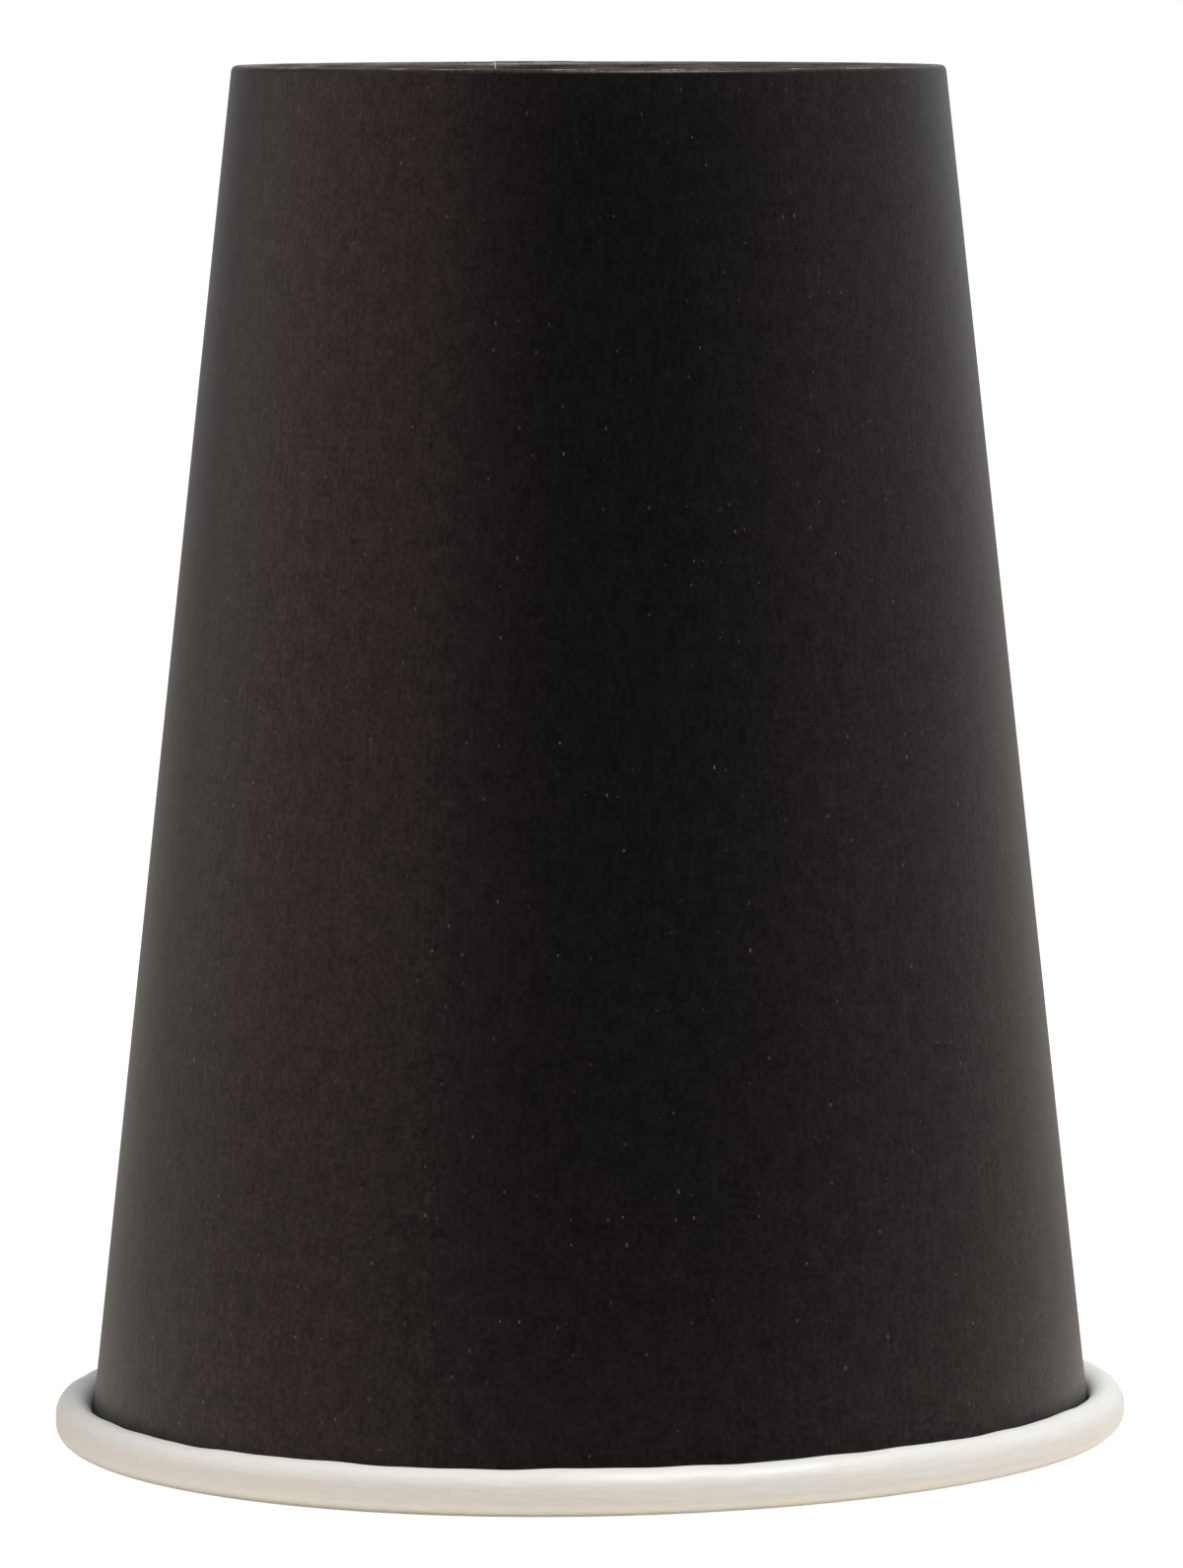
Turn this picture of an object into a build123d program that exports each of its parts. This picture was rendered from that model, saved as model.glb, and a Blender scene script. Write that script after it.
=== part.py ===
from build123d import *

import os
from math import acos, asin, atan2, ceil, cos, degrees, hypot, radians, sin, tan

# A single-wall paper cup for hot drinks, upside down on its rolled rim.
# It is two pieces of paperboard. One sheet, printed outside and white inside,
# is wrapped into a cone, lapped and sealed along one side, rolled outward
# at the mouth and turned in at the foot. A shallow white pan closes the foot,
# with its skirt held between the wall and the turned-in hem.
# Millimetres. The mouth faces down and +Z points up along the axis. The origin is
# the centre of the plane on which the rim rests.

# Overall sizes
rim_diameter = 90.0      # outside of the rolled rim
foot_diameter = 59.46    # outside of the wall, carried straight up to the foot's plane
cup_height = 114.6       # from the resting rim up to the foot's edge

# Boards
wall_board = 0.35        # thickness of the sheet that makes the wall
panel_board = 0.28       # thickness of the board that closes the foot
seal_gap = 0.02          # left between faces that are sealed to each other

# Rolled rim
roll_width = 3.37        # across the lower bends, outside to outside
roll_height = 3.84       # from the resting plane to the top of the roll
roll_land = 0.35         # width of the flat ring on which the roll rests
roll_gap = 0.08          # from the end of the roll to the printed face of the wall
roll_tail = 0.9          # straight end of the roll, beside the wall
bend_sag = 0.125         # most that a flat facet of a bend cuts inside the bend's arc

# Foot
hem_length = 6.9         # board turned in at the foot, below the fold
recess_depth = 8.0       # from the foot's edge down to the panel

# Side seam
seam_angle = 106.4       # place of the outer cut edge, counted from +X towards +Y
seam_lap = 7.3           # width of the overlap, half-way up the wall
seam_ramp = 1.6          # width over which a proud layer sinks back into the cone
seam_sink = 0.05         # how deep in the cone's board that slope ends
outer_step = 0.15        # how far the outer cut edge stands proud of the printed face
inner_step = 0.15        # how far the inner cut edge stands proud of the white face
seam_margin = 0.4        # height left clear between the seam's steps and the roll or panel

# The rolled rim's two lower bends, each centred at a radius and a height
rim_radius = rim_diameter / 2
bend_radius = (roll_width - roll_land) / 2
first_bend = Vector(rim_radius - bend_radius - roll_land, bend_radius)

# The printed face is straight from the foot's plane to the inside of the first bend,
# which it touches.
foot_radius = foot_diameter / 2
bend_offset = first_bend.X - foot_radius
bend_drop = cup_height - first_bend.Y
wall_lean = (atan2(bend_offset, bend_drop)
             - asin((bend_radius - wall_board) / hypot(bend_offset, bend_drop)))
down_wall = Vector(sin(wall_lean), -cos(wall_lean))
out_of_wall = Vector(cos(wall_lean), sin(wall_lean))


def wall_point(height, depth=0.0):
    """Returns the wall's point at a height, moved in by a depth below the printed face."""
    printed = Vector(foot_radius + (cup_height - height) * tan(wall_lean), height)
    return printed - out_of_wall * depth


# The last bend of the roll brings the sheet back beside the wall, one gap away from it.
roll_room = rim_radius - wall_point(roll_height).X - roll_gap / cos(wall_lean)
last_bend_radius = roll_room / (1 + 1 / cos(wall_lean) + tan(wall_lean))
last_bend_height = roll_height - last_bend_radius

# The fold at the foot wraps wall, skirt and hem, so its width is their stack.
fold_radius = (2 * wall_board + panel_board + 2 * seal_gap) / 2
fold_centre = wall_point(cup_height - fold_radius) - Vector(fold_radius / cos(wall_lean), 0)

# The panel lies at the recess's depth, and its skirt follows the white face of the wall.
panel_underside = cup_height - recess_depth - panel_board
skirt_depth = wall_board + seal_gap

# The seam's steps run between the roll and the panel, over these angles round the axis.
seam_bottom = roll_height + seam_margin
inner_seam_top = panel_underside - seam_margin
middle_radius = wall_point(cup_height / 2).X
lap_arc = degrees(seam_lap / middle_radius)
ramp_arc = degrees(seam_ramp / middle_radius)


def half_plane(angle):
    """Returns the plane through the axis at an angle from +X: radius across, height up."""
    turn = radians(angle)
    across = (cos(turn), sin(turn), 0)
    normal = (sin(turn), -cos(turn), 0)
    return Plane(origin=(0, 0, 0), x_dir=across, z_dir=normal)


def facet_count(outer_radius, turn):
    """Returns how many equal flat facets follow a bend whose outer face has that radius."""
    facet_turn = 2 * degrees(acos(1 - bend_sag / outer_radius))
    return ceil(turn / facet_turn)


def bend(start, heading, radius, turn, count):
    """Draws one face of a bend as equal flat facets, with their corners on its arc.

    Returns its end and the heading there. A positive turn is to the left.
    """
    side = 90 if turn > 0 else -90
    centre = start + heading.rotate(Axis.Z, side) * radius
    spoke = start - centre
    corners = [centre + spoke.rotate(Axis.Z, turn * i / count) for i in range(count + 1)]
    Polyline(*corners)
    return corners[-1], heading.rotate(Axis.Z, turn)


def hem_and_fold(depth):
    """Draws the turned-in hem and the fold over it, below the printed face."""
    radius = fold_radius - depth
    hem_top = fold_centre - out_of_wall * radius
    hem_end = hem_top + down_wall * hem_length
    # A straight Bezier curve sweeps a face with fewer facets than a line's cone.
    Bezier(hem_end, hem_top)
    count = facet_count(fold_radius, 180)
    wall_top, _ = bend(hem_top, -down_wall, radius, -180, count)
    return hem_end, wall_top


def sheet_line(depth):
    """Draws the whole sheet from the hem to the end of the roll, below the printed face."""
    lean = degrees(wall_lean)
    hem_end, wall_top = hem_and_fold(depth)
    radius = bend_radius - wall_board + depth
    wall_foot = first_bend - out_of_wall * radius
    Line(wall_top, wall_foot)
    count = facet_count(bend_radius, 90)
    bend_end, heading = bend(wall_foot, down_wall, radius, 90 - lean, count)
    land_end = bend_end + heading * roll_land
    Line(bend_end, land_end)
    bend_end, heading = bend(land_end, heading, radius, 90, count)
    side_top = Vector(bend_end.X, last_bend_height)
    Line(bend_end, side_top)
    radius = last_bend_radius - wall_board + depth
    count = facet_count(last_bend_radius, 180 + lean)
    bend_end, heading = bend(side_top, heading, radius, 180 + lean, count)
    tail_end = bend_end + heading * roll_tail
    Line(bend_end, tail_end)
    return hem_end, tail_end


def outer_layer_line(depth):
    """Draws the seam's outer layer from the hem to just above the roll."""
    hem_end, wall_top = hem_and_fold(depth)
    wall_end = wall_point(seam_bottom, depth)
    Line(wall_top, wall_end)
    return hem_end, wall_end


def inner_layer_line(depth):
    """Draws the seam's inner layer from just below the panel to just above the roll."""
    top = wall_point(inner_seam_top, depth)
    end = wall_point(seam_bottom, depth)
    Line(top, end)
    return top, end


def panel_line(depth):
    """Draws the panel and its skirt from the axis, at a depth above the underside.

    The skirt is a straight Bezier curve, as the hem is.
    """
    height = panel_underside + depth
    corner_offset = (skirt_depth + depth) / cos(wall_lean)
    centre = Vector(0, height)
    corner = wall_point(height) - Vector(corner_offset, 0)
    skirt_top = fold_centre + out_of_wall * (panel_board / 2 - depth)
    Line(centre, corner)
    Bezier(corner, skirt_top)
    return centre, skirt_top


def board_section(line, shallow, deep):
    """Draws the board between two depths of a line, closed square at both ends."""
    with BuildLine() as outline:
        start, end = line(shallow)
        deep_start, deep_end = line(deep)
        Line(start, deep_start)
        Line(end, deep_end)
    make_face(outline.edges())


def seam_layer(line, full, sunk, cut_angle, arc, ramp):
    """Adds one layer of the seam: level over the lap, then sloping into the cone."""
    with BuildSketch(half_plane(cut_angle)) as cut_edge:
        board_section(line, *full)
    revolve(cut_edge.sketch, axis=Axis.Z, revolution_arc=arc)
    with BuildSketch(half_plane(cut_angle + arc)) as slope_top:
        board_section(line, *full)
    with BuildSketch(half_plane(cut_angle + arc + ramp)) as slope_foot:
        board_section(line, *sunk)
    loft([slope_top.sketch.face(), slope_foot.sketch.face()], ruled=True)


with BuildPart() as side_wall:
    with BuildSketch(Plane.XZ):
        board_section(sheet_line, 0, wall_board)
    revolve(axis=Axis.Z)
    seam_layer(
        outer_layer_line,
        full=(-outer_step, wall_board / 2),
        sunk=(seam_sink, wall_board / 2),
        cut_angle=seam_angle,
        arc=-lap_arc,
        ramp=-ramp_arc,
    )
    seam_layer(
        inner_layer_line,
        full=(wall_board / 2, wall_board + inner_step),
        sunk=(wall_board / 2, wall_board - seam_sink),
        cut_angle=seam_angle - lap_arc,
        arc=lap_arc,
        ramp=ramp_arc,
    )
side_wall.part.label = "side_wall"

with BuildPart() as bottom_disc:
    with BuildSketch(Plane.XZ):
        board_section(panel_line, 0, panel_board)
    revolve(axis=Axis.Z)
bottom_disc.part.label = "bottom_disc"

os.makedirs("parts", exist_ok=True)
for piece in (side_wall, bottom_disc):
    export_step(piece.part, f"parts/{piece.part.label}.step")
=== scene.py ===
from math import asin, atan2, cos, hypot, pi, radians, sin, tan

import bpy
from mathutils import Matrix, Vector


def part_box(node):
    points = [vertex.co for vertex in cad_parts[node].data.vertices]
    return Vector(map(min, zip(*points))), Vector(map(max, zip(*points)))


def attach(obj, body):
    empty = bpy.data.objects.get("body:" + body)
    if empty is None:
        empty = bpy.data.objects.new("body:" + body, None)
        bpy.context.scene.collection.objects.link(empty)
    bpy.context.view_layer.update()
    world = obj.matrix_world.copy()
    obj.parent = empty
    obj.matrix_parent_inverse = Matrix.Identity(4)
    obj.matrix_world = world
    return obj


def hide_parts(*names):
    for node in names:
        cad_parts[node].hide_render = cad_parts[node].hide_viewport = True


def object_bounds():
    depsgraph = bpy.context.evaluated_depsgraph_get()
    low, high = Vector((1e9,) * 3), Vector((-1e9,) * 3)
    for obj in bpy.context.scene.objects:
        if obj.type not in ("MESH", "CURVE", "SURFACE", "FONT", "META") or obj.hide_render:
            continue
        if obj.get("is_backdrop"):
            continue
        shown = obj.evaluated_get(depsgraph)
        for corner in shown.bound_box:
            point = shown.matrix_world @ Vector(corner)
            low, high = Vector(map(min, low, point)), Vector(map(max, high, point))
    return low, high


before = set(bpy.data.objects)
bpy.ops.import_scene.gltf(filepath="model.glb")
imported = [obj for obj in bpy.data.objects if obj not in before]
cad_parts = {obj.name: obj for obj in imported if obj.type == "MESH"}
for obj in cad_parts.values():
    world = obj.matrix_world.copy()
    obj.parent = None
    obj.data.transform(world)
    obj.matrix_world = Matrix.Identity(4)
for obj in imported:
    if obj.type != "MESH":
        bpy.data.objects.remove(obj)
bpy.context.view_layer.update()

# Side wall
# The real piece is one fan-shaped sheet of cup board, 0.35 mm thick, printed dark on one
# side and white on the other. It is wrapped into a cone, lapped and sealed down one side,
# rolled outward at the mouth with its white side out, and turned in at the foot.
MM = 0.001
_, wall_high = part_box("side_wall")
rim_radius = wall_high.x
cup_height = 114.6 * MM
foot_radius = 29.73 * MM
wall_board = 0.35 * MM
panel_board = 0.28 * MM
seal_gap = 0.02 * MM
roll_width = 3.37 * MM
roll_height = 3.84 * MM
roll_land = 0.35 * MM
roll_gap = 0.08 * MM
roll_tail = 0.9 * MM
hem_length = 6.9 * MM
recess_depth = 8.0 * MM
outer_edge_angle = radians(106.4)
seam_lap = radians(11.6)
seam_ramp = radians(4.0)
lap_rise = 0.36 * MM

# The wall's printed face runs from the foot down to the inside of the roll's first bend.
bend_radius = (roll_width - roll_land) / 2
printed_bend = bend_radius - wall_board
first_bend = Vector((rim_radius - bend_radius - roll_land, bend_radius))
second_bend = Vector((rim_radius - bend_radius, bend_radius))
bend_offset = first_bend.x - foot_radius
bend_drop = cup_height - first_bend.y
wall_lean = atan2(bend_offset, bend_drop) - asin(printed_bend / hypot(bend_offset, bend_drop))
down_wall = Vector((sin(wall_lean), -cos(wall_lean)))
out_of_wall = Vector((cos(wall_lean), sin(wall_lean)))


def wall_point(height, depth=0.0):
    """Returns the wall's radius and height at a height, moved in by a depth below the print."""
    printed = Vector((foot_radius + (cup_height - height) * tan(wall_lean), height))
    return printed - out_of_wall * depth


# The roll's last bend leaves a gap beside the print. The fold wraps two walls and the skirt.
roll_room = rim_radius - wall_point(roll_height).x - roll_gap / cos(wall_lean)
last_bend_radius = roll_room / (1 + 1 / cos(wall_lean) + tan(wall_lean))
last_bend = Vector((rim_radius - last_bend_radius, roll_height - last_bend_radius))
fold_radius = (2 * wall_board + panel_board + 2 * seal_gap) / 2
fold_centre = wall_point(cup_height - fold_radius) - Vector((fold_radius / cos(wall_lean), 0))
hem_end = fold_centre - out_of_wall * fold_radius + down_wall * hem_length
wall_top = fold_centre + out_of_wall * fold_radius
wall_foot = first_bend - out_of_wall * printed_bend

# The section is drawn in the half-plane of the sheet's inner cut edge.
inner_edge_angle = outer_edge_angle - seam_lap
axis_up = Vector((0, 0, 1))
outward = Vector((cos(inner_edge_angle), sin(inner_edge_angle), 0))
section_normal = outward.cross(axis_up)


def in_section(point):
    """Returns the place in space of a radius and height in the section's half-plane."""
    return outward * point.x + axis_up * point.y


def start_section(name, point):
    """Starts a piece as one vertex, in edit mode."""
    bpy.ops.object.select_all(action="DESELECT")
    bpy.ops.mesh.primitive_plane_add(size=MM)
    piece = bpy.context.active_object
    piece.name = name
    bpy.ops.object.mode_set(mode="EDIT")
    bpy.ops.mesh.select_mode(type="VERT")
    bpy.ops.mesh.merge(type="CENTER")
    bpy.ops.transform.translate(value=in_section(point))
    return piece


def run_straight(heading, length, steps):
    """Extrudes the selected end of the section along a straight stretch of board."""
    step = in_section(heading) * (length / steps)
    for _ in range(steps):
        bpy.ops.mesh.extrude_region_move(TRANSFORM_OT_translate={"value": step})


def run_round(centre, turn, steps):
    """Spins the selected end of the section round a bend, to the left if turn is positive."""
    bpy.ops.mesh.spin(steps=steps, angle=-turn, center=in_section(centre), axis=section_normal)


def wrap_round(turn, steps):
    """Spins the selected edge of the sheet round the cup's axis."""
    bpy.ops.mesh.spin(steps=steps, angle=-turn, center=(0, 0, 0), axis=axis_up)


# The section follows the printed side, from the hem's end round to the end of the roll.
cup_wall = start_section("cup_wall", hem_end)
run_straight(-down_wall, hem_length, steps=8)
run_round(fold_centre, -pi, steps=12)
run_straight(down_wall, (wall_foot - wall_top).length, steps=22)
run_round(first_bend, pi / 2 - wall_lean, steps=10)
run_straight(Vector((1, 0)), roll_land, steps=2)
run_round(second_bend, pi / 2, steps=10)
run_straight(Vector((0, 1)), last_bend.y - second_bend.y, steps=2)
run_round(last_bend, pi + wall_lean, steps=20)
run_straight(down_wall, roll_tail, steps=3)

# The sheet goes once round, climbs over its first edge, and lies on it for the lap. A vertex
# group holds how far each part of it has climbed.
bpy.ops.object.mode_set(mode="OBJECT")
bpy.ops.object.vertex_group_add()
cup_wall.vertex_groups[-1].name = "lap"
bpy.ops.object.mode_set(mode="EDIT")
bpy.ops.mesh.select_all(action="SELECT")
wrap_round(2 * pi - seam_ramp, steps=356)
ramp_steps = 7
for step in range(1, ramp_steps + 1):
    wrap_round(seam_ramp / ramp_steps, steps=1)
    share = step / ramp_steps
    bpy.context.tool_settings.vertex_group_weight = share * share * (3 - 2 * share)
    bpy.ops.object.vertex_group_assign()
lap_steps = 12
bpy.context.tool_settings.vertex_group_weight = 1
for _ in range(lap_steps):
    wrap_round(seam_lap / lap_steps, steps=1)
    bpy.ops.object.vertex_group_assign()
bpy.ops.object.mode_set(mode="OBJECT")

# Near the fold's crown the tool that closes the foot has pressed the lap nearly flat.
press_start = 112.4 * MM
press_end = 113.8 * MM
pressed_share = 0.12
for vertex in cup_wall.data.vertices:
    pressed = min(1, max(0, (vertex.co.z - press_start) / (press_end - press_start)))
    for group in vertex.groups:
        group.weight *= 1 - (1 - pressed_share) * pressed


def colour(hex_code):
    """Turns an sRGB hex colour to the linear values that the shaders take."""
    parts = [int(hex_code[i:i + 2], 16) / 255 for i in (1, 3, 5)]
    linear = [p / 12.92 if p <= 0.04045 else ((p + 0.055) / 1.055) ** 2.4 for p in parts]
    return (*linear, 1)


def new_material(name):
    """Makes an empty material and returns it with its node tree."""
    made = bpy.data.materials.new(name)
    made.use_nodes = True
    made.node_tree.nodes.clear()
    return made, made.node_tree


def add_node(tree, kind, inputs, **settings):
    """Adds a node with its settings, gives its inputs values or links, and returns its outputs."""
    made = tree.nodes.new(kind)
    for name, value in settings.items():
        setattr(made, name, value)
    for name, value in inputs.items():
        if isinstance(value, bpy.types.NodeSocket):
            tree.links.new(value, made.inputs[name])
        else:
            made.inputs[name].default_value = value
    return made.outputs


# The cup stands on the dips of a rim that waves, a little out of square, and its foot's edge is
# not quite level. Patterns are laid out on the upright cup and lean with it.
wave_height = 0.18 * MM
cup_tilt = 0.0091
foot_tilt = 0.0041
foot_lift = 0.22 * MM


def upright_place(tree):
    """Returns a place on the cup, with the lean and lift of its foot taken out of it."""
    place = add_node(tree, "ShaderNodeTexCoord", {})["Object"]
    parts = add_node(tree, "ShaderNodeSeparateXYZ", {0: place})
    across = add_node(tree, "ShaderNodeVectorMath", {
        0: place, 1: (1, 0, -cup_tilt)}, operation="DOT_PRODUCT")["Value"]
    height = add_node(tree, "ShaderNodeVectorMath", {
        0: place, 1: (cup_tilt, foot_tilt, 1)}, operation="DOT_PRODUCT")["Value"]
    height = add_node(tree, "ShaderNodeMath", {
        0: height, 1: wave_height + foot_lift}, operation="SUBTRACT")[0]
    return add_node(tree, "ShaderNodeCombineXYZ", {"X": across, "Y": parts["Y"], "Z": height})[0]


def sheet_place(tree, place):
    """Returns a place on the unrolled sheet: width round the cup, then height, in metres."""
    turned = add_node(tree, "ShaderNodeVectorRotate", {
        "Vector": place, "Angle": pi - outer_edge_angle}, rotation_type="Z_AXIS")[0]
    parts = add_node(tree, "ShaderNodeSeparateXYZ", {0: turned})
    wrap = add_node(tree, "ShaderNodeMath", {0: parts["Y"], 1: parts["X"]}, operation="ARCTAN2")[0]
    width = add_node(tree, "ShaderNodeMath", {0: wrap, 1: middle_radius}, operation="MULTIPLY")[0]
    return add_node(tree, "ShaderNodeCombineXYZ", {"X": width, "Y": parts["Z"]})[0]


def board_pattern(tree, place, width, height, detail):
    """Returns a flat pattern of fibres, grains or patches of a width and a height."""
    scaled = add_node(tree, "ShaderNodeVectorMath", {
        0: place, 1: (1 / width, 1 / height, 1)}, operation="MULTIPLY")[0]
    return add_node(tree, "ShaderNodeTexNoise", {
        "Vector": scaled, "Scale": 1.0, "Detail": detail, "Roughness": 0.6},
        noise_dimensions="2D")[0]


# Black ink on clay-coated board, left matte: nearly black, a little brown where it shines. Board
# fibres show through it as a fine grain, upright streaks and slow mottling. The finest grain
# is drawn at 0.4 mm, because the real one is too fine to show.
printed_board, tree = new_material("clay_coated_board_printed_matte")
place = upright_place(tree)
height = add_node(tree, "ShaderNodeSeparateXYZ", {0: place})["Z"]
middle_radius = (foot_radius + rim_radius) / 2
sheet = sheet_place(tree, place)
grain = board_pattern(tree, sheet, width=0.42 * MM, height=0.46 * MM, detail=5)
streaks = board_pattern(tree, sheet, width=0.45 * MM, height=2.6 * MM, detail=3)
mottle = board_pattern(tree, sheet, width=1.6 * MM, height=1.9 * MM, detail=3)
patches = board_pattern(tree, sheet, width=7 * MM, height=9 * MM, detail=2)

# How much light the print gives back: each pattern's range, and the levels that it spans. The
# last row is painted shade: it darkens the print and its shine towards the mouth, near the roll.
cover_and_painted_shade = 1.0
for pattern, start, end, low, high in (
        (grain, 0.3, 0.7, 0.74, 1.26),
        (streaks, 0.3, 0.7, 0.9, 1.1),
        (mottle, 0.25, 0.75, 0.82, 1.18),
        (height, 5 * MM, 45 * MM, 0.82, 1.0)):
    level = add_node(tree, "ShaderNodeMapRange", {
        "Value": pattern, "From Min": start, "From Max": end, "To Min": low, "To Max": high})[0]
    cover_and_painted_shade = add_node(tree, "ShaderNodeMath", {0: cover_and_painted_shade, 1: level}, operation="MULTIPLY")[0]

# Pale specks where a fibre's end shows through: one to each small cell of the board, most of
# them too small or too faint to show
cell_width = 1.3 * MM
cell_height = 2.1 * MM
largest_speck = 0.085
speck_rareness = 5.0
speck_paleness = 0.24
cells = add_node(tree, "ShaderNodeVectorMath", {
    0: sheet, 1: (1 / cell_width, 1 / cell_height, 1)}, operation="MULTIPLY")[0]
specks = add_node(tree, "ShaderNodeTexVoronoi", {
    "Vector": cells, "Scale": 1.0}, voronoi_dimensions="2D")
chance = add_node(tree, "ShaderNodeSeparateColor", {0: specks["Color"]})
speck_size = add_node(tree, "ShaderNodeMapRange", {
    "Value": chance[0], "From Min": 0.2, "From Max": 1.0, "To Min": 0.0,
    "To Max": largest_speck})[0]
speck = add_node(tree, "ShaderNodeMath", {
    0: specks["Distance"], 1: speck_size}, operation="LESS_THAN")[0]
faint = add_node(tree, "ShaderNodeMath", {0: chance[1], 1: speck_rareness}, operation="POWER")[0]
speck = add_node(tree, "ShaderNodeMath", {0: speck, 1: faint}, operation="MULTIPLY")[0]
speck = add_node(tree, "ShaderNodeMath", {0: speck, 1: speck_paleness}, operation="MULTIPLY")[0]

# Worn places along the crown of the fold
wear_start = cup_height - 0.16 * MM
wear_end = cup_height - 0.04 * MM
wear_paleness = 0.5
crown = add_node(tree, "ShaderNodeMapRange", {
    "Value": height, "From Min": wear_start, "From Max": wear_end})[0]
rubs = board_pattern(tree, sheet, width=5 * MM, height=40 * MM, detail=4)
rubbed = add_node(tree, "ShaderNodeMapRange", {"Value": rubs, "From Min": 0.5, "From Max": 0.66})[0]
rough = add_node(tree, "ShaderNodeMapRange", {
    "Value": grain, "From Min": 0.3, "From Max": 0.6, "To Min": 0.2, "To Max": 1.0})[0]
worn = add_node(tree, "ShaderNodeMath", {0: crown, 1: rubbed}, operation="MULTIPLY")[0]
worn = add_node(tree, "ShaderNodeMath", {0: worn, 1: rough}, operation="MULTIPLY")[0]
worn = add_node(tree, "ShaderNodeMath", {0: worn, 1: wear_paleness}, operation="MULTIPLY")[0]

# The hem's face in the recess is scuffed along its length by the tool that pressed it. It is
# the only print that lies deeper than the wall's board.
hem_depth = 0.5 * MM
flat = add_node(tree, "ShaderNodeVectorMath", {0: place, 1: (1, 1, 0)}, operation="MULTIPLY")[0]
radius = add_node(tree, "ShaderNodeVectorMath", {0: flat}, operation="LENGTH")["Value"]
wall_radius = add_node(tree, "ShaderNodeMapRange", {
    "Value": height, "From Min": 0.0, "From Max": cup_height,
    "To Min": wall_point(0).x, "To Max": foot_radius})[0]
depth = add_node(tree, "ShaderNodeMath", {0: wall_radius, 1: radius}, operation="SUBTRACT")[0]
on_hem = add_node(tree, "ShaderNodeMath", {0: depth, 1: hem_depth}, operation="GREATER_THAN")[0]
scuffs = board_pattern(tree, sheet, width=9 * MM, height=0.22 * MM, detail=4)
scuffs = add_node(tree, "ShaderNodeMapRange", {
    "Value": scuffs, "From Min": 0.35, "From Max": 0.75, "To Min": 0.04, "To Max": 0.34})[0]
scuffs = add_node(tree, "ShaderNodeMath", {0: on_hem, 1: scuffs}, operation="MULTIPLY")[0]

# Along the sheet's outer cut edge the print has broken away in places, and everywhere near the
# crown.
cut_edge = pi * middle_radius
fringe_start = cut_edge - 0.22 * MM
fringe_end = cut_edge - 0.08 * MM
bare_start = cup_height - 1.0 * MM
bare_end = cup_height - 0.6 * MM
width = add_node(tree, "ShaderNodeSeparateXYZ", {0: sheet})["X"]
fringe = add_node(tree, "ShaderNodeMapRange", {
    "Value": width, "From Min": fringe_start, "From Max": fringe_end})[0]
broken = add_node(tree, "ShaderNodeMapRange", {
    "Value": mottle, "From Min": 0.35, "From Max": 0.75, "To Min": 0.05, "To Max": 0.5})[0]
near_crown = add_node(tree, "ShaderNodeMapRange", {
    "Value": height, "From Min": bare_start, "From Max": bare_end})[0]
broken = add_node(tree, "ShaderNodeMath", {0: broken, 1: near_crown}, operation="MAXIMUM")[0]
fringe = add_node(tree, "ShaderNodeMath", {0: fringe, 1: broken}, operation="MULTIPLY")[0]

# All the damage together, over the ink, whose relief and shine follow the board's fibres
streak_share = 0.8
usual_shine = 0.5
bare = speck
for damage in (worn, scuffs, fringe):
    bare = add_node(tree, "ShaderNodeMath", {0: bare, 1: damage}, operation="MAXIMUM")[0]
patch = add_node(tree, "ShaderNodeMapRange", {
    "Value": patches, "From Min": 0.35, "From Max": 0.65})[0]
ink = add_node(tree, "ShaderNodeMix", {
    0: patch, 6: colour("#131415"), 7: colour("#101314")}, data_type="RGBA")[2]
ink = add_node(tree, "ShaderNodeVectorMath", {0: ink, "Scale": cover_and_painted_shade}, operation="SCALE")[0]
surface = add_node(tree, "ShaderNodeMix", {
    0: bare, 6: ink, 7: colour("#b9b0a6")}, data_type="RGBA")[2]
fibres = add_node(tree, "ShaderNodeMath", {
    0: streaks, 1: streak_share, 2: grain}, operation="MULTIPLY_ADD")[0]
relief = add_node(tree, "ShaderNodeBump", {
    "Strength": 1.0, "Distance": 0.012 * MM, "Height": fibres})[0]
# Painted shade: the shine is also darker towards the mouth, as the print is.
shine_and_painted_shade = add_node(tree, "ShaderNodeMath", {0: cover_and_painted_shade, 1: usual_shine}, operation="MULTIPLY")[0]
shader = add_node(tree, "ShaderNodeBsdfPrincipled", {
    "Base Color": surface, "Roughness": 0.38, "IOR": 1.45, "Specular IOR Level": shine_and_painted_shade,
    "Specular Tint": (1.0, 0.75, 0.69, 1), "Normal": relief})[0]
add_node(tree, "ShaderNodeOutputMaterial", {"Surface": shader})

# White board sealed with a thin plastic film: a soft sheen over faint fibres, which run round
# the cup, and slow unevenness.
white_board, tree = new_material("film_sealed_white_board")
sheet = sheet_place(tree, upright_place(tree))
fibres = board_pattern(tree, sheet, width=1.8 * MM, height=0.25 * MM, detail=3)
uneven = board_pattern(tree, sheet, width=11 * MM, height=2.2 * MM, detail=2)
share = add_node(tree, "ShaderNodeMapRange", {"Value": fibres, "From Min": 0.3, "From Max": 0.7})[0]
tone = add_node(tree, "ShaderNodeMix", {
    0: share, 6: colour("#ebebe6"), 7: colour("#f1f1ed")}, data_type="RGBA")[2]
sheen = add_node(tree, "ShaderNodeMapRange", {
    "Value": uneven, "From Min": 0.3, "From Max": 0.7, "To Min": 0.38, "To Max": 0.5})[0]
fine = add_node(tree, "ShaderNodeBump", {
    "Strength": 1.0, "Distance": 0.004 * MM, "Height": fibres})[0]
relief = add_node(tree, "ShaderNodeBump", {
    "Strength": 1.0, "Distance": 0.13 * MM, "Height": uneven, "Normal": fine})[0]
shader = add_node(tree, "ShaderNodeBsdfPrincipled", {
    "Base Color": tone, "Roughness": sheen, "IOR": 1.5, "Normal": relief})[0]
add_node(tree, "ShaderNodeOutputMaterial", {"Surface": shader})

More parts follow.
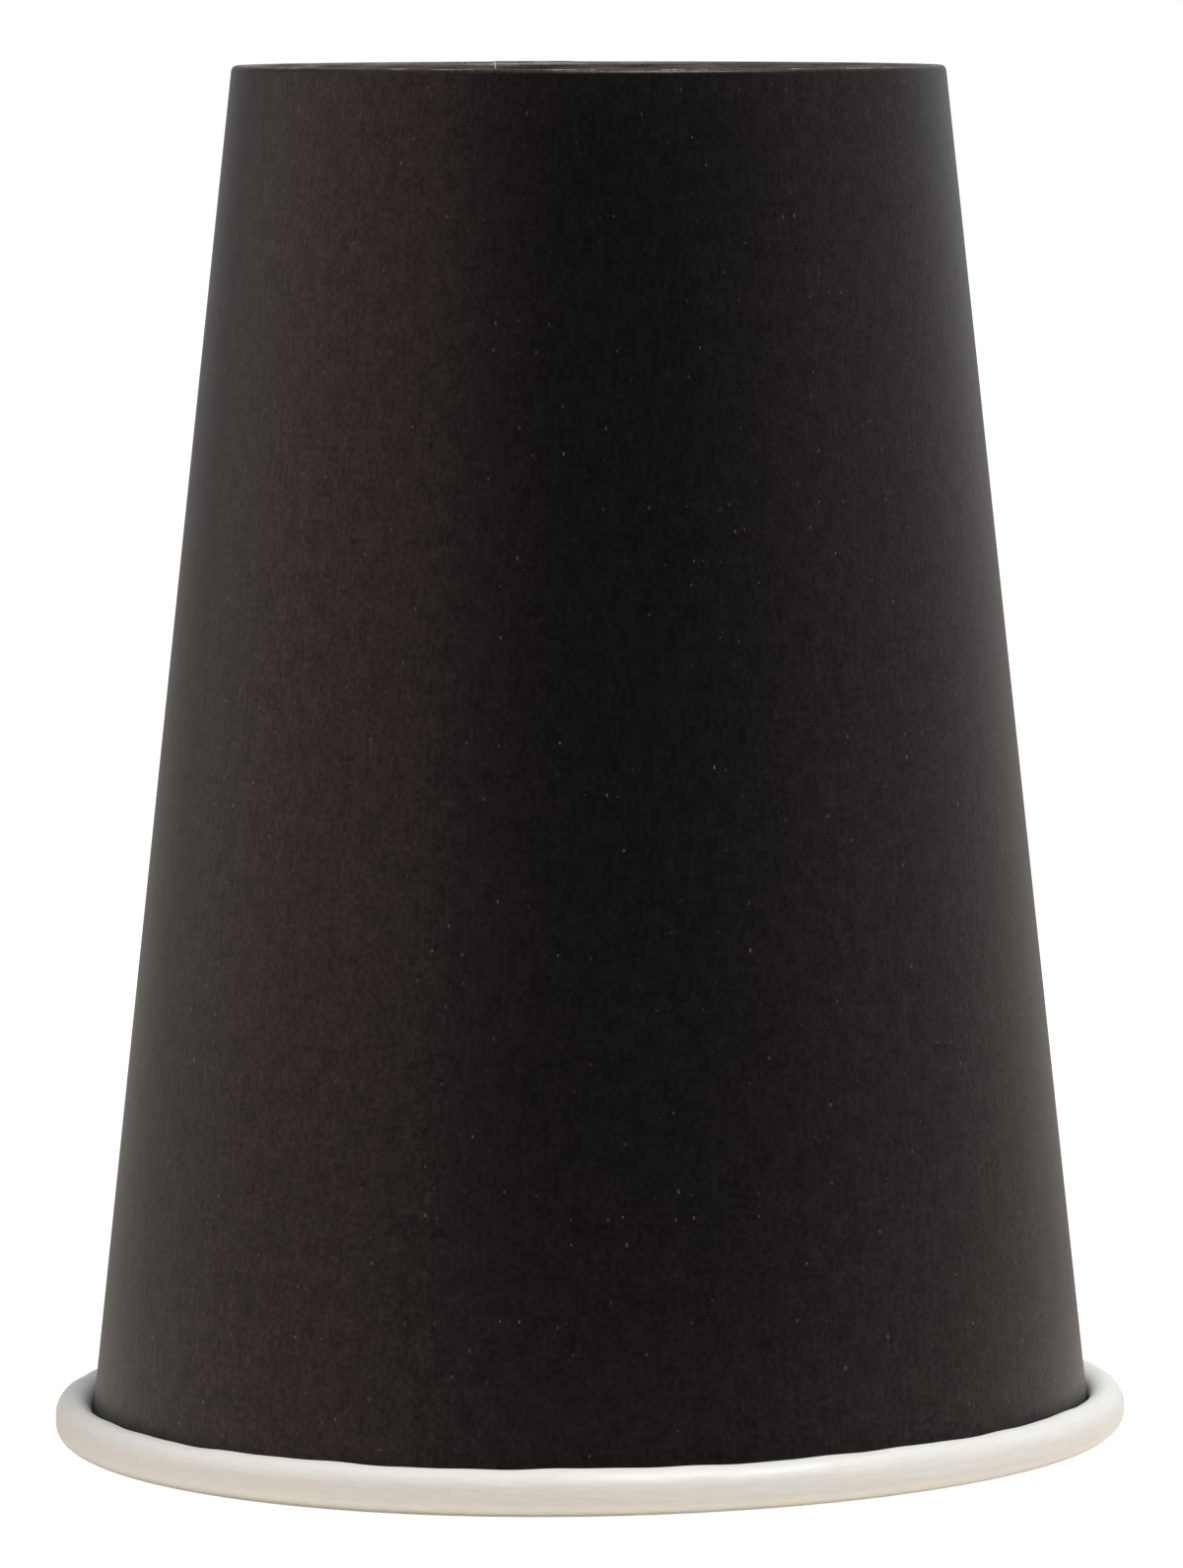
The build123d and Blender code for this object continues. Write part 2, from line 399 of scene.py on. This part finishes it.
# Cut board: where the blade went through, the fibres are bare, dull and a little yellow.
raw_edge, tree = new_material("raw_board_edge")
sheet = sheet_place(tree, upright_place(tree))
fibres = board_pattern(tree, sheet, width=0.15 * MM, height=0.6 * MM, detail=3)
share = add_node(tree, "ShaderNodeMapRange", {"Value": fibres, "From Min": 0.3, "From Max": 0.7})[0]
tone = add_node(tree, "ShaderNodeMix", {
    0: share, 6: colour("#d3c9b8"), 7: colour("#ebe5da")}, data_type="RGBA")[2]
relief = add_node(tree, "ShaderNodeBump", {
    "Strength": 1.0, "Distance": 0.03 * MM, "Height": fibres})[0]
shader = add_node(tree, "ShaderNodeBsdfPrincipled", {
    "Base Color": tone, "Roughness": 0.85, "IOR": 1.5, "Normal": relief})[0]
add_node(tree, "ShaderNodeOutputMaterial", {"Surface": shader})

# The sheet climbs by its own thickness where it laps, then gets that thickness, inward from
# the print. Its inner face is white and its edges are bare.
for material in (printed_board, white_board, raw_edge):
    cup_wall.data.materials.append(material)
lap = cup_wall.modifiers.new("lap", "DISPLACE")
lap.direction = "NORMAL"
lap.vertex_group = "lap"
lap.mid_level = 0
lap.strength = lap_rise
bpy.ops.object.modifier_apply(modifier="lap")
board = cup_wall.modifiers.new("board", "SOLIDIFY")
board.thickness = wall_board
board.offset = -1
board.use_even_offset = True
board.material_offset = 1
board.material_offset_rim = 2
bpy.ops.object.modifier_apply(modifier="board")

# The rolled rim waves a little, as a real one does, with three finer ripples on top of that. It
# dips most in front on the left, is pressed flatter on the left, and is rounder on the right.
wave_end = 14 * MM
wave_dip = radians(-118.8)
ripple_height = 0.07 * MM
ripple_counts = (11, 27, 46)
ripple_shares = (1.0, 0.6, 0.4)
roll_press = 0.12 * MM
roll_rounding = 0.35 * MM
roll_middle = Vector((rim_radius - roll_width / 2, roll_height / 2))
for vertex in cup_wall.data.vertices:
    round_cup = atan2(vertex.co.y, vertex.co.x)
    radius = hypot(vertex.co.x, vertex.co.y)
    outside = min(1, max(0, (radius - roll_middle.x) / (rim_radius - roll_middle.x)))
    off_middle = (vertex.co.z - roll_middle.y) / roll_middle.y
    inward = roll_rounding * outside * off_middle ** 2 * (1 + cos(round_cup)) / 2
    near_rim = max(0, 1 - vertex.co.z / wave_end)
    up_roll = near_rim * min(1, vertex.co.z / roll_height)
    ripple = 0
    for start, (count, share) in enumerate(zip(ripple_counts, ripple_shares)):
        ripple += share * sin(count * round_cup + start)
    vertex.co.x *= 1 - inward / radius
    vertex.co.y *= 1 - inward / radius
    vertex.co.z -= wave_height * near_rim * cos(2 * (round_cup - wave_dip))
    vertex.co.z += ripple_height * up_roll * ripple
    vertex.co.z -= roll_press * up_roll * (1 - cos(round_cup))

# A frame of eight points leans, lifts and turns both pieces alike.
across = 2 * rim_radius
bpy.ops.object.add(type="LATTICE", location=(0, 0, cup_height / 2))
lean_frame = bpy.context.active_object
lean_frame.scale = (across, across, cup_height)
lean_frame.data.interpolation_type_u = "KEY_LINEAR"
lean_frame.data.interpolation_type_v = "KEY_LINEAR"
lean_frame.data.interpolation_type_w = "KEY_LINEAR"
for point in lean_frame.data.points:
    point.co_deform.z += wave_height / cup_height
    if point.co.z > 0:
        point.co_deform.x += cup_tilt * cup_height / across
        point.co_deform.z -= cup_tilt * point.co.x * across / cup_height
        point.co_deform.z -= foot_tilt * point.co.y * across / cup_height
        point.co_deform.z += foot_lift / cup_height


def lean(piece):
    """Leans a piece with the frame."""
    bpy.ops.object.select_all(action="DESELECT")
    bpy.context.view_layer.objects.active = piece
    modifier = piece.modifiers.new("lean", "LATTICE")
    modifier.object = lean_frame
    bpy.ops.object.modifier_apply(modifier="lean")


smooth_angle = radians(40)
lean(cup_wall)
cup_wall.select_set(True)
bpy.ops.object.shade_smooth_by_angle(angle=smooth_angle)
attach(cup_wall, "root")
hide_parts("side_wall")

# Bottom disc
# The real piece is a round blank of thinner white board, pressed into a shallow pan. Its
# skirt is sealed between the wall and the turned-in hem, so only the panel shows.
crease_radius = 0.7 * MM
panel_underside = cup_height - recess_depth - panel_board
skirt_depth = wall_board + seal_gap
crease_depth = skirt_depth + crease_radius
crease_height = panel_underside + crease_radius
crease_centre = wall_point(crease_height + crease_depth * sin(wall_lean), crease_depth)
skirt_foot = crease_centre + out_of_wall * crease_radius
skirt_top = fold_centre + out_of_wall * (panel_board / 2)

# The panel's dry side is plain white board: dull, with fibres that run one way across it,
# because it lies flat, and soft clouds where they are thicker.
panel_face, tree = new_material("white_panel_board")
place = add_node(tree, "ShaderNodeTexCoord", {})["Object"]
fibres = board_pattern(tree, place, width=1.6 * MM, height=0.4 * MM, detail=4)
clouds = board_pattern(tree, place, width=4 * MM, height=3 * MM, detail=3)
share = add_node(tree, "ShaderNodeMapRange", {"Value": clouds, "From Min": 0.3, "From Max": 0.7})[0]
tone = add_node(tree, "ShaderNodeMix", {
    0: share, 6: colour("#e6e1d8"), 7: colour("#efece5")}, data_type="RGBA")[2]
uneven = add_node(tree, "ShaderNodeMath", {0: fibres, 1: clouds}, operation="ADD")[0]
relief = add_node(tree, "ShaderNodeBump", {
    "Strength": 1.0, "Distance": 0.02 * MM, "Height": uneven})[0]
shader = add_node(tree, "ShaderNodeBsdfPrincipled", {
    "Base Color": tone, "Roughness": 0.6, "IOR": 1.5, "Normal": relief})[0]
add_node(tree, "ShaderNodeOutputMaterial", {"Surface": shader})

# The blank's section runs along its underside, from the axis out to the skirt's top.
cup_bottom = start_section("cup_bottom", Vector((0, panel_underside)))
run_straight(Vector((1, 0)), crease_centre.x, steps=14)
run_round(crease_centre, pi / 2 + wall_lean, steps=8)
run_straight(-down_wall, (skirt_top - skirt_foot).length, steps=6)
bpy.ops.mesh.select_all(action="SELECT")
wrap_round(2 * pi, steps=240)
bpy.ops.mesh.select_all(action="SELECT")
bpy.ops.mesh.remove_doubles(threshold=0.002 * MM)
bpy.ops.object.mode_set(mode="OBJECT")
for material in (panel_face, raw_edge):
    cup_bottom.data.materials.append(material)
board = cup_bottom.modifiers.new("board", "SOLIDIFY")
board.thickness = panel_board
board.offset = -1
board.use_even_offset = True
board.material_offset_rim = 1
bpy.ops.object.modifier_apply(modifier="board")
lean(cup_bottom)
cup_bottom.select_set(True)
bpy.ops.object.shade_smooth_by_angle(angle=smooth_angle)
bpy.data.objects.remove(lean_frame)
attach(cup_bottom, "root")
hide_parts("bottom_disc")

# Floor
# A plain white sweep, which the camera sees bright and even. To other rays it is painted light: a
# warm, pale pool close to the cup that also glows a little, darkening away from its front, which
# keeps it out of the print's reflection. Behind the cup it is a mid grey, so that both edges of the
# wall shine alike.
pale_radius = 0.065
dark_radius = 0.19
pale_stretch = (0.58, 1, 1)
pale_shift = (0, -0.02, 0)
behind_start = 0.03
behind_end = 0.09
behind_far = 0.3
pale_glow = 0.1
seen_white = 0.96
bpy.ops.object.select_all(action="DESELECT")
bpy.ops.mesh.primitive_plane_add(size=6)
floor = bpy.context.active_object
floor.name = "floor"
floor_paper, tree = new_material("matte_white_sweep")
place = add_node(tree, "ShaderNodeTexCoord", {})["Object"]
oval = add_node(tree, "ShaderNodeVectorMath", {
    0: place, 1: pale_stretch, 2: pale_shift}, operation="MULTIPLY_ADD")[0]
distance = add_node(tree, "ShaderNodeVectorMath", {0: oval}, operation="LENGTH")["Value"]
away = add_node(tree, "ShaderNodeMapRange", {
    "Value": distance, "From Min": pale_radius, "From Max": dark_radius})[0]
front = add_node(tree, "ShaderNodeMix", {
    0: away, 6: colour("#f1e8de"), 7: colour("#3c3732")}, data_type="RGBA")[2]
back = add_node(tree, "ShaderNodeSeparateXYZ", {0: place})["Y"]
far = add_node(tree, "ShaderNodeMapRange", {
    "Value": back, "From Min": behind_start, "From Max": behind_far})[0]
behind = add_node(tree, "ShaderNodeMix", {
    0: far, 6: colour("#aba69f"), 7: colour("#c8c3bc")}, data_type="RGBA")[2]
past_cup = add_node(tree, "ShaderNodeMapRange", {
    "Value": back, "From Min": behind_start, "From Max": behind_end})[0]
tone = add_node(tree, "ShaderNodeMix", {0: past_cup, 6: front, 7: behind}, data_type="RGBA")[2]
paper = add_node(tree, "ShaderNodeBsdfDiffuse", {"Color": tone})[0]
# Painted bounce light: the floor glows a little to other rays, though it is no lamp.
glow = add_node(tree, "ShaderNodeEmission", {"Color": tone, "Strength": pale_glow})[0]
sweep = add_node(tree, "ShaderNodeAddShader", {0: paper, 1: glow})[0]
shadowed = add_node(tree, "ShaderNodeBsdfDiffuse", {"Color": (0.2, 0.2, 0.2, 1)})[0]
white = add_node(tree, "ShaderNodeEmission", {"Color": (1, 1, 1, 1), "Strength": seen_white})[0]
seen = add_node(tree, "ShaderNodeAddShader", {0: shadowed, 1: white})[0]
camera_ray = add_node(tree, "ShaderNodeLightPath", {})["Is Camera Ray"]
both = add_node(tree, "ShaderNodeMixShader", {0: camera_ray, 1: sweep, 2: seen})[0]
add_node(tree, "ShaderNodeOutputMaterial", {"Surface": both})
floor.data.materials.append(floor_paper)
floor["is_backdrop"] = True

# Light and camera
# A plain studio: a bright, warm wall on the left that fades upwards, dimmer ones on the right
# and behind, a soft ceiling, and one large soft lamp high up in front on the right. The
# camera sees all of it white.
scene = bpy.context.scene
scene.view_settings.view_transform = "Standard"
scene.world = bpy.data.worlds.new("studio")
scene.world.use_nodes = True
tree = scene.world.node_tree
tree.nodes.clear()
direction = add_node(tree, "ShaderNodeTexCoord", {})["Generated"]
parts = add_node(tree, "ShaderNodeSeparateXYZ", {0: direction})
to_left = add_node(tree, "ShaderNodeVectorMath", {
    0: direction, 1: (-0.99, -0.14, 0)}, operation="DOT_PRODUCT")["Value"]
to_back = add_node(tree, "ShaderNodeVectorMath", {
    0: direction, 1: (0.3, 0.9, 0)}, operation="DOT_PRODUCT")["Value"]
left_wall = add_node(tree, "ShaderNodeMapRange", {
    "Value": to_left, "From Min": 0.42, "From Max": 0.95, "To Min": 0.0, "To Max": 1.13})[0]
low_down = add_node(tree, "ShaderNodeMapRange", {
    "Value": parts["Z"], "From Min": -0.1, "From Max": 0.3, "To Min": 1.15, "To Max": 0.7})[0]
right_wall = add_node(tree, "ShaderNodeMapRange", {
    "Value": parts["X"], "From Min": 0.62, "From Max": 1.0, "To Min": 0.0, "To Max": 0.55})[0]
back_wall = add_node(tree, "ShaderNodeMapRange", {
    "Value": to_back, "From Min": 0.2, "From Max": 0.9, "To Min": 0.0, "To Max": 0.62})[0]
ceiling = add_node(tree, "ShaderNodeMapRange", {
    "Value": parts["Z"], "From Min": 0.459, "From Max": 0.969, "To Min": 0.0, "To Max": 0.58})[0]
left_wall = add_node(tree, "ShaderNodeMath", {
    0: left_wall, 1: low_down}, operation="MULTIPLY")[0]
left_wall = add_node(tree, "ShaderNodeVectorMath", {
    0: (1.0, 0.91, 0.86), "Scale": left_wall}, operation="SCALE")[0]
walls = add_node(tree, "ShaderNodeMath", {0: right_wall, 1: back_wall}, operation="MAXIMUM")[0]
walls = add_node(tree, "ShaderNodeVectorMath", {0: left_wall, 1: walls}, operation="MAXIMUM")[0]
room = add_node(tree, "ShaderNodeVectorMath", {0: walls, 1: ceiling}, operation="ADD")[0]
studio = add_node(tree, "ShaderNodeBackground", {"Color": room, "Strength": 1.0})[0]
white = add_node(tree, "ShaderNodeBackground", {"Color": (1, 1, 1, 1), "Strength": 1.0})[0]
camera_ray = add_node(tree, "ShaderNodeLightPath", {})["Is Camera Ray"]
both = add_node(tree, "ShaderNodeMixShader", {0: camera_ray, 1: studio, 2: white})[0]
add_node(tree, "ShaderNodeOutputWorld", {"Surface": both})

lamp_place = Vector((0.5, -0.42, 1.72))
lamp_width = 0.8
lamp_power = 24
to_cup = Vector((0, 0, cup_height / 2)) - lamp_place
bpy.ops.object.light_add(type="AREA", location=lamp_place)
lamp = bpy.context.active_object
lamp.name = "key_light"
lamp.data.shape = "SQUARE"
lamp.data.size = lamp_width
lamp.data.energy = lamp_power
lamp.rotation_euler = to_cup.to_track_quat("-Z", "Y").to_euler()

# The cup leans a little on its rim, and the photo's camera is turned to match.
camera_distance = 803.75 * MM
camera_height = 127.09 * MM
camera_pitch = -0.0896
camera_roll = 0.001
camera_yaw = 0.0003
sensor_width = 36
focal_length = 221.0
bpy.ops.object.camera_add()
camera = bpy.context.active_object
camera.location.x = camera_height * sin(cup_tilt)
camera.location.y = -camera_distance
camera.location.z = camera_height * cos(cup_tilt)
camera.rotation_euler = (pi / 2 + camera_pitch, cup_tilt + camera_roll, -camera_yaw)
camera.data.sensor_width = sensor_width
camera.data.lens = focal_length
scene.camera = camera

low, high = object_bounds()
